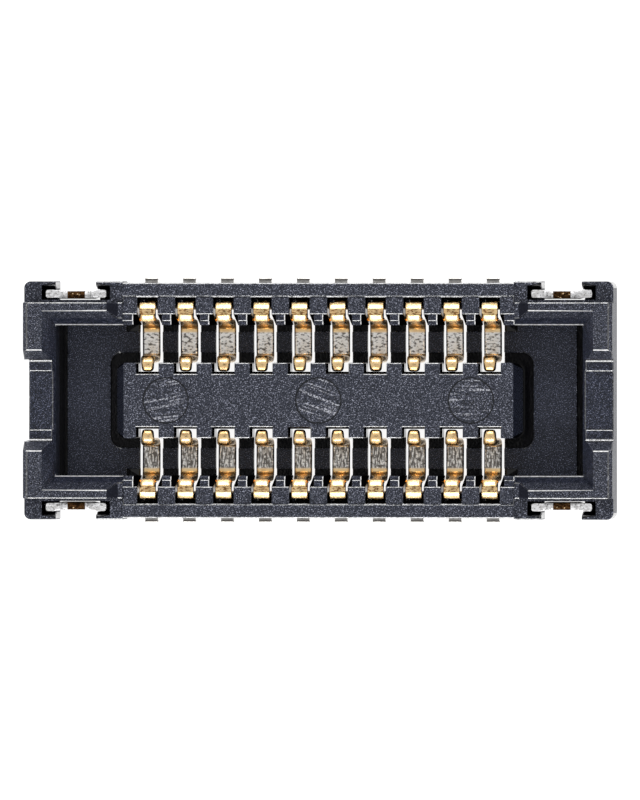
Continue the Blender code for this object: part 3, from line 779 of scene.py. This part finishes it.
        # Black that reflects nothing: painted shade on steep walls, slopes and notch walls.
        draft = MouldedPlastic(
            name="draft_plastic_painted_shade",
            dark=(0.001, 0.001, 0.0015),
            light=(0.003, 0.003, 0.004),
            painted_fleck_glint=(0.006, 0.006, 0.008),
            grain=50.0,
            grain_depth=0.0020,
            roughness=0.62,
            roughness_spread=0.06,
            refraction=1.0,
        )
        ramp = MouldedPlastic(
            name="ramp_plastic",
            dark=(0.010, 0.011, 0.016),
            light=(0.015, 0.016, 0.024),
            painted_fleck_glint=(0.022, 0.024, 0.034),
            grain=50.0,
            grain_depth=0.0010,
            roughness=0.40,
            roughness_spread=0.06,
            refraction=1.10,
        )
        # Near-white facets on some edges: painted highlight.
        painted_highlight = MouldedPlastic(
            name="painted_highlight_edge",
            dark=(0.600, 0.602, 0.610),
            light=(0.950, 0.950, 0.960),
            painted_fleck_glint=(1.000, 1.000, 1.000),
            grain=30.0,
            grain_depth=0.0020,
            roughness=0.35,
            roughness_spread=0.08,
            refraction=2.20,
        )
        spacing = self.pin_spacing
        pins = (
            PinMark("pin_mark_left", -9.0, -spacing),
            PinMark("pin_mark_middle", 20.0, 0.0),
            PinMark("pin_mark_right", 0.0, spacing),
        )
        moulded = [finish.material() for finish in (eroded, fine, smooth, polished, edge)]
        pin_marks = [pin.material() for pin in pins]
        return moulded + pin_marks + [finish.material() for finish in (draft, ramp, painted_highlight)]


@dataclass
class FacePoint:
    """One point of a strip's visible face line, across the rows and up, and the strip's width."""

    y: float
    z: float
    width: float


@dataclass
class SpringContact:
    """One stamped and formed contact; its sizes follow the face that shows from above."""

    thickness: float = 0.080
    tail_width: float = 0.135
    leg_width: float = 0.153
    tail_end: float = 1.300
    tail_fold: float = 1.270
    tail_foot: float = 1.240
    tail_rise: float = 0.0075
    fold_radius: float = 0.006
    leg_start: float = 1.180
    leg: float = 1.030
    barb_low: float = 0.200
    barb_length: float = 0.090
    barb_width: float = 0.204
    arch_width: float = 0.170
    arch_height: float = 0.605
    arch_outer: float = 0.964
    arch_inner: float = 0.892
    facet_drop: float = 0.030
    spring_top: float = 0.827
    spring_foot: float = 0.773
    neck_span: tuple[float, float] = (0.18, 0.62)
    neck_width: float = 0.112
    spring_width: float = 0.188
    foot_height: float = 0.115
    hook_foot_height: float = 0.095
    bend_radius: float = 0.045
    hook_bend: float = 0.020
    hook_face: float = 0.476
    hook_width: float = 0.152
    hook_radius: float = 0.100
    hook_height: float = 0.590
    hook_turn: float = 125.0
    tip_width: float = 0.128
    tip_length: float = 0.036
    coin_start: float = 0.907
    coin_radius: float = 0.036
    border_radius: float = 0.012
    tail_border: float = 0.006
    facet_radius: float = 0.005
    bend_step: float = 10.0

    def face_line(self) -> list[FacePoint]:
        """Return the face line from the tail over the arch and through the U to the hook's tip."""
        line = [
            FacePoint(self.tail_end, self.thickness, self.tail_width),
            FacePoint(self.tail_fold, self.thickness + self.tail_rise, self.tail_width),
            FacePoint(self.tail_foot, self.thickness, self.tail_width),
            FacePoint(self.leg_start, self.thickness, self.leg_width),
        ]
        leg_foot = (self.leg, self.thickness)
        self.round_corner(line, leg_foot, (self.leg, self.barb_low), self.bend_radius, self.leg_width)
        barb_top = self.barb_low + self.barb_length
        facet_foot = self.arch_height - self.facet_drop
        line.append(FacePoint(self.leg, self.barb_low, self.leg_width))
        line.append(FacePoint(self.leg, self.barb_low + self.barb_length / 3, self.barb_width))
        line.append(FacePoint(self.leg, barb_top, self.barb_width))
        line.append(FacePoint(self.leg, barb_top + self.barb_length / 2, self.arch_width))
        line.append(FacePoint(self.leg, facet_foot, self.arch_width))
        line.append(FacePoint(self.arch_outer, self.arch_height, self.arch_width))
        line.append(FacePoint(self.coin_start + 0.005, self.arch_height, self.arch_width))
        line.append(FacePoint(self.coin_start - 0.005, self.arch_height, self.arch_width))
        line.append(FacePoint(self.arch_inner, self.arch_height, self.arch_width))
        line.append(FacePoint(self.spring_top, facet_foot, self.arch_width))
        for share in self.neck_span:
            y = self.spring_top + (self.spring_foot - self.spring_top) * share
            z = facet_foot + (self.foot_height - facet_foot) * share
            line.append(FacePoint(y, z, self.neck_width))
        spring_foot = (self.spring_foot, self.foot_height)
        hook_foot = (self.hook_face, self.hook_foot_height)
        hook_start = (self.hook_face, self.hook_height - self.hook_radius)
        self.round_corner(line, spring_foot, hook_foot, self.bend_radius, self.spring_width)
        self.round_corner(line, hook_foot, hook_start, self.hook_bend, self.spring_width)
        line.append(FacePoint(*hook_start, self.hook_width))
        turn = math.radians(self.hook_turn)
        self.sweep(line, math.pi / 2, turn, self.hook_radius, self.tip_width)
        heading = math.pi / 2 + turn
        tip_y = line[-1].y + self.tip_length * math.cos(heading)
        tip_z = line[-1].z + self.tip_length * math.sin(heading)
        line.append(FacePoint(tip_y, tip_z, self.tip_width))
        return line

    def round_corner(
        self,
        line: list[FacePoint],
        corner: tuple[float, float],
        target: tuple[float, float],
        radius: float,
        width: float,
    ) -> None:
        """Carry the line round a corner on the way to a target.

        Args:
            line: The face line so far, which grows.
            corner: The corner's place across the rows and up.
            target: Where the line goes after it.
            radius: The bend's radius.
            width: The strip's width in the bend.
        """
        last = line[-1]
        arrive = math.atan2(corner[1] - last.z, corner[0] - last.y)
        leave = math.atan2(target[1] - corner[1], target[0] - corner[0])
        turn = (leave - arrive + math.pi) % (2 * math.pi) - math.pi
        reach = radius * math.tan(abs(turn) / 2)
        start_y = corner[0] - reach * math.cos(arrive)
        start_z = corner[1] - reach * math.sin(arrive)
        line.append(FacePoint(start_y, start_z, width))
        self.sweep(line, arrive, turn, radius, width)

    def sweep(self, line: list[FacePoint], heading: float, turn: float, radius: float, width: float) -> None:
        """Carry the line round an arc.

        Args:
            line: The face line so far, which grows.
            heading: Direction at the arc's start, in radians.
            turn: Angle of the arc; positive goes left.
            radius: Radius of the face line.
            width: The strip's width at the arc's end.
        """
        start = line[-1]
        side = heading + math.copysign(math.pi / 2, turn)
        centre_y = start.y + radius * math.cos(side)
        centre_z = start.z + radius * math.sin(side)
        steps = math.ceil(abs(math.degrees(turn)) / self.bend_step)
        for step in range(1, steps + 1):
            share = step / steps
            angle = side + turn * share
            y = centre_y - radius * math.cos(angle)
            z = centre_z - radius * math.sin(angle)
            line.append(FacePoint(y, z, start.width + (width - start.width) * share))

    def stations(self) -> list[Matrix]:
        """Return the placing of the strip's unit section at each point of the face line."""
        line = self.face_line()
        ways = [
            Vector((0.0, after.y - before.y, after.z - before.z)).normalized()
            for before, after in zip(line, line[1:])
        ]
        level = Vector((0.0, -1.0, 0.0))
        placings = []
        for index, point in enumerate(line):
            before = ways[index - 1] if index > 0 else level
            after = ways[min(index, len(ways) - 1)]
            both = before + after
            inward = Vector((0.0, -both.z, both.y)) * (self.thickness / (1 + before.dot(after)))
            placing = Matrix.Identity(4)
            placing.col[0][0:3] = (point.width, 0.0, 0.0)
            placing.col[1][0:3] = inward
            placing.col[2][0:3] = both.normalized()
            placing.col[3][0:3] = (0.0, point.y, point.z)
            placings.append(placing)
        return placings

    def shape(self) -> bmesh.types.BMesh:
        """Draw the strip by extruding its section along the line, and coin its edges."""
        placings = self.stations()
        bm = bmesh.new()
        section = Matrix.Translation((0.0, 0.5, 0.0))
        start = placings[0] @ section
        bmesh.ops.create_grid(bm, x_segments=1, y_segments=1, size=0.5, matrix=start)
        end = bm.faces[:][0]
        for before, after in zip(placings, placings[1:]):
            region = [end, *end.edges, *end.verts]
            grown = bmesh.ops.extrude_face_region(bm, geom=region)["geom"]
            end = next(item for item in grown if isinstance(item, bmesh.types.BMFace))
            bmesh.ops.transform(bm, matrix=after @ before.inverted(), verts=end.verts)
        bmesh.ops.recalc_face_normals(bm, faces=bm.faces)
        creases = [edge for edge in bm.edges if self.is_crease(edge)]
        folds = [edge for edge in creases if edge.verts[0].co.y > self.tail_foot]
        break_edges(bm, folds, self.fold_radius, 3)
        creases = [edge for edge in creases if edge.is_valid and edge not in folds]
        break_edges(bm, creases, self.facet_radius, 2)
        borders = self.borders(bm, self.thickness, self.coin_start - 0.004)
        break_edges(bm, borders, self.coin_radius, 3)
        borders = self.borders(bm, self.coin_start + 0.004, self.leg_start + 0.001)
        break_edges(bm, borders, self.border_radius, 2)
        borders = self.borders(bm, self.leg_start - 0.001, 2 * self.tail_end)
        break_edges(bm, borders, self.tail_border, 2)
        return bm

    def borders(self, bm: bmesh.types.BMesh, start: float, end: float) -> list[bmesh.types.BMEdge]:
        """Return the sharp edges of the strip that lie between two places across the rows."""
        return [
            edge
            for edge in bm.edges
            if edge.calc_face_angle(0.0) > math.radians(70.0)
            and all(start < vertex.co.y < end for vertex in edge.verts)
        ]

    def is_crease(self, edge: bmesh.types.BMEdge) -> bool:
        """Tell whether an edge is an outer crease of the arch, across the strip."""
        run = edge.verts[1].co - edge.verts[0].co
        angle = edge.calc_face_angle_signed(0.0)
        return abs(run.x) > run.yz.length and math.radians(15.0) < angle < math.radians(70.0)

    def build(self, row: Row, index: int, x: float, finish: bpy.types.Material) -> bpy.types.Object:
        """Build one contact in its place.

        Args:
            row: The row it stands in.
            index: Its number in the row, from 1.
            x: Its place along the row, in millimetres.
            finish: Its plating.

        Returns:
            The finished piece.
        """
        bm = self.shape()
        place = Matrix.Translation((x, 0.0, 0.0)) @ Matrix.Rotation(row.turn, 4, "Z")
        bmesh.ops.transform(bm, matrix=place, verts=bm.verts)
        node = f"contact_{row.value}{index:02d}"
        piece = add_piece(f"plated_{node}", bm, [finish], 34.0)
        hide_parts(node)
        return piece


@dataclass
class ContactRows:
    """Both rows of contacts on their common pitch."""

    pitch: float = 0.400
    count: int = 10

    def build(self) -> list[bpy.types.Object]:
        """Build every contact and return the pieces."""
        finish = PlatedStrip().material()
        contact = SpringContact()
        middle = (self.count - 1) * self.pitch / 2
        pieces = []
        for row in Row:
            for index in range(1, self.count + 1):
                x = (index - 1) * self.pitch - middle
                pieces.append(contact.build(row, index, x, finish))
        return pieces


@dataclass
class FittingNails:
    """The four nails that hold the corners down."""

    corners: tuple[str, ...] = ("a_left", "a_right", "b_left", "b_right")
    edge_radius: float = 0.010
    sharp_angle: float = 40.0
    sheared_low: float = 0.500
    sheared_width: float = 0.184

    def build(self) -> list[bpy.types.Object]:
        """Build the nails and return the pieces."""
        tin = TinPlate().material()
        bronze = ShearedBronze().material()
        pieces = []
        for corner in self.corners:
            node = f"nail_{corner}"
            bm = merged_copy(node)
            self.mark_sheared_top(bm)
            crowded = {
                vertex
                for edge in bm.edges
                if edge.calc_length() < 2.2 * self.edge_radius
                for vertex in edge.verts
            }
            edges = [
                edge
                for edge in bm.edges
                if edge.calc_face_angle(0.0) > math.radians(self.sharp_angle)
                and not crowded.intersection(edge.verts)
            ]
            break_edges(bm, edges, self.edge_radius, 2)
            piece = add_piece(f"tinned_{node}", bm, [tin, bronze], 34.0)
            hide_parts(node)
            pieces.append(piece)
        return pieces

    def mark_sheared_top(self, bm: bmesh.types.BMesh) -> None:
        """Give the middle of the dip's level bottom to the bare bronze."""
        level = [face for face in bm.faces if face.normal.z > 0.99]
        level = [face for face in level if face.calc_center_median().z > self.sheared_low]
        dip = min(level, key=lambda face: face.calc_center_median().z)
        height = dip.calc_center_median().z
        middle = dip.calc_center_median().x
        for side in (-1, 1):
            cut = middle + side * self.sheared_width / 2
            everything = bm.verts[:] + bm.edges[:] + bm.faces[:]
            bmesh.ops.bisect_plane(bm, geom=everything, plane_co=(cut, 0, 0), plane_no=(1, 0, 0))
        for face in bm.faces:
            centre = face.calc_center_median()
            inside = abs(centre.x - middle) < self.sheared_width / 2
            if inside and face.normal.z > 0.99 and abs(centre.z - height) < 0.001:
                face.material_index = 1


@dataclass
class LightBar:
    """A long soft lamp beside the part, turned to face it."""

    name: str
    side: float
    radiance: float
    height_angle: float = 42.7
    distance: float = 60.0
    length: float = 56.0
    width: float = 8.4

    def build(self) -> bpy.types.Object:
        """Add the lamp and return it."""
        lamp = bpy.data.lights.new(self.name, "AREA")
        lamp.shape = "RECTANGLE"
        lamp.size = self.length * MM
        lamp.size_y = self.width * MM
        lamp.energy = self.radiance * math.pi * lamp.size * lamp.size_y
        item = bpy.data.objects.new(self.name, lamp)
        angle = math.radians(self.height_angle)
        away = Vector((0.0, self.side * math.cos(angle), math.sin(angle)))
        item.location = away * self.distance * MM
        item.rotation_euler = away.to_track_quat("Z", "Y").to_euler()
        bpy.context.scene.collection.objects.link(item)
        return item


@dataclass
class Studio:
    """Camera, pale floor, soft surroundings and the two light bars."""

    tilt: float = 4.46
    pitch: float = 0.35
    distance: float = 250.0
    target: tuple[float, float, float] = (-0.0294, 0.0016, 0.0)
    frame_height: float = 8.411
    sensor: float = 36.0
    floor_size: float = 400.0
    floor_gap: float = 0.002
    surroundings: float = 0.86
    overhead: float = 0.03
    overhead_edge: float = 0.9954
    overhead_fade: float = 0.9905

    def build(self) -> None:
        """Set up everything round the part."""
        self.build_camera()
        self.build_floor()
        self.build_world()
        LightBar("light_bar_far", 1.0, 8.5).build()
        LightBar("light_bar_near", -1.0, 10.0).build()
        bpy.context.scene.view_settings.view_transform = "Standard"

    def build_camera(self) -> None:
        """Place the camera above the part, leaning a little to its right end."""
        camera = bpy.data.cameras.new("camera")
        camera.sensor_width = self.sensor
        camera.lens = self.sensor * self.distance / self.frame_height
        camera.clip_start = 0.01
        camera.clip_end = 10.0
        item = bpy.data.objects.new("camera", camera)
        right = math.tan(math.radians(self.tilt))
        far = math.tan(math.radians(self.pitch))
        away = Vector((right, far, 1.0)).normalized()
        item.location = (away * self.distance + Vector(self.target)) * MM
        across = Vector((0.0, 1.0, 0.0)).cross(away).normalized()
        upward = away.cross(across)
        item.rotation_euler = Matrix((across, upward, away)).transposed().to_euler()
        bpy.context.scene.collection.objects.link(item)
        bpy.context.scene.camera = item

    def build_floor(self) -> None:
        """Lay the floor under the part."""
        bm = bmesh.new()
        bmesh.ops.create_grid(bm, x_segments=1, y_segments=1, size=self.floor_size * MM / 2)
        bmesh.ops.translate(bm, vec=(0.0, 0.0, -self.floor_gap * MM), verts=bm.verts)
        mesh = bpy.data.meshes.new("floor")
        bm.to_mesh(mesh)
        bm.free()
        mesh.materials.append(self.floor_material())
        floor = bpy.data.objects.new("floor", mesh)
        bpy.context.scene.collection.objects.link(floor)

    def floor_material(self) -> bpy.types.Material:
        """Return a pale floor that shows white to the eye and to glossy faces, with its shadow."""
        material = bpy.data.materials.new("pale_floor")
        material.use_nodes = True
        tree = material.node_tree
        tree.nodes.clear()
        output = tree.nodes.new("ShaderNodeOutputMaterial")
        matt = tree.nodes.new("ShaderNodeBsdfDiffuse")
        matt.inputs["Color"].default_value = (0.85, 0.85, 0.85, 1.0)
        faint = tree.nodes.new("ShaderNodeBsdfDiffuse")
        faint.inputs["Color"].default_value = (0.35, 0.35, 0.35, 1.0)
        glow = tree.nodes.new("ShaderNodeEmission")
        glow.inputs["Strength"].default_value = 0.92
        lit = tree.nodes.new("ShaderNodeAddShader")
        mix = tree.nodes.new("ShaderNodeMixShader")
        tree.links.new(faint.outputs[0], lit.inputs[0])
        tree.links.new(glow.outputs[0], lit.inputs[1])
        tree.links.new(self.seen_directly(tree), mix.inputs[0])
        tree.links.new(matt.outputs[0], mix.inputs[1])
        tree.links.new(lit.outputs[0], mix.inputs[2])
        tree.links.new(mix.outputs[0], output.inputs["Surface"])
        return material

    def seen_directly(self, tree: bpy.types.NodeTree) -> Socket:
        """Return 1 for rays from the eye, off a glossy face or through a clear one."""
        path = tree.nodes.new("ShaderNodeLightPath")
        total = path.outputs["Is Camera Ray"]
        for name in ("Is Glossy Ray", "Is Transmission Ray"):
            step = tree.nodes.new("ShaderNodeMath")
            step.operation = "MAXIMUM"
            tree.links.new(total, step.inputs[0])
            tree.links.new(path.outputs[name], step.inputs[1])
            total = step.outputs[0]
        return total

    def build_world(self) -> None:
        """Surround the part with soft light that is dimmer overhead, and white to the eye."""
        world = bpy.data.worlds.new("studio")
        world.use_nodes = True
        bpy.context.scene.world = world
        tree = world.node_tree
        tree.nodes.clear()
        output = tree.nodes.new("ShaderNodeOutputWorld")
        room = tree.nodes.new("ShaderNodeBackground")
        white = tree.nodes.new("ShaderNodeBackground")
        white.inputs["Strength"].default_value = 1.0
        white.inputs["Color"].default_value = (1.0, 1.0, 1.0, 1.0)
        place = tree.nodes.new("ShaderNodeTexCoord")
        split = tree.nodes.new("ShaderNodeSeparateXYZ")
        level = tree.nodes.new("ShaderNodeMapRange")
        level.inputs["From Min"].default_value = self.overhead_fade
        level.inputs["From Max"].default_value = self.overhead_edge
        level.inputs["To Min"].default_value = self.surroundings
        level.inputs["To Max"].default_value = self.overhead
        path = tree.nodes.new("ShaderNodeLightPath")
        mix = tree.nodes.new("ShaderNodeMixShader")
        tree.links.new(place.outputs["Generated"], split.inputs["Vector"])
        tree.links.new(split.outputs["Z"], level.inputs["Value"])
        tree.links.new(level.outputs["Result"], room.inputs["Strength"])
        tree.links.new(path.outputs["Is Camera Ray"], mix.inputs[0])
        tree.links.new(room.outputs[0], mix.inputs[1])
        tree.links.new(white.outputs[0], mix.inputs[2])
        tree.links.new(mix.outputs[0], output.inputs["Surface"])


def report(pieces: list[bpy.types.Object]) -> None:
    """Log each piece with its face count."""
    for piece in pieces:
        log.info("%s: %d faces", piece.name, len(piece.data.polygons))


def main() -> None:
    """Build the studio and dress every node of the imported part."""
    logging.basicConfig(level=logging.INFO, format="%(name)s: %(message)s")
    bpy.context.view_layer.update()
    Studio().build()
    report([Housing().build()])
    report(ContactRows().build())
    report(FittingNails().build())


if __name__ == "__main__":
    main()
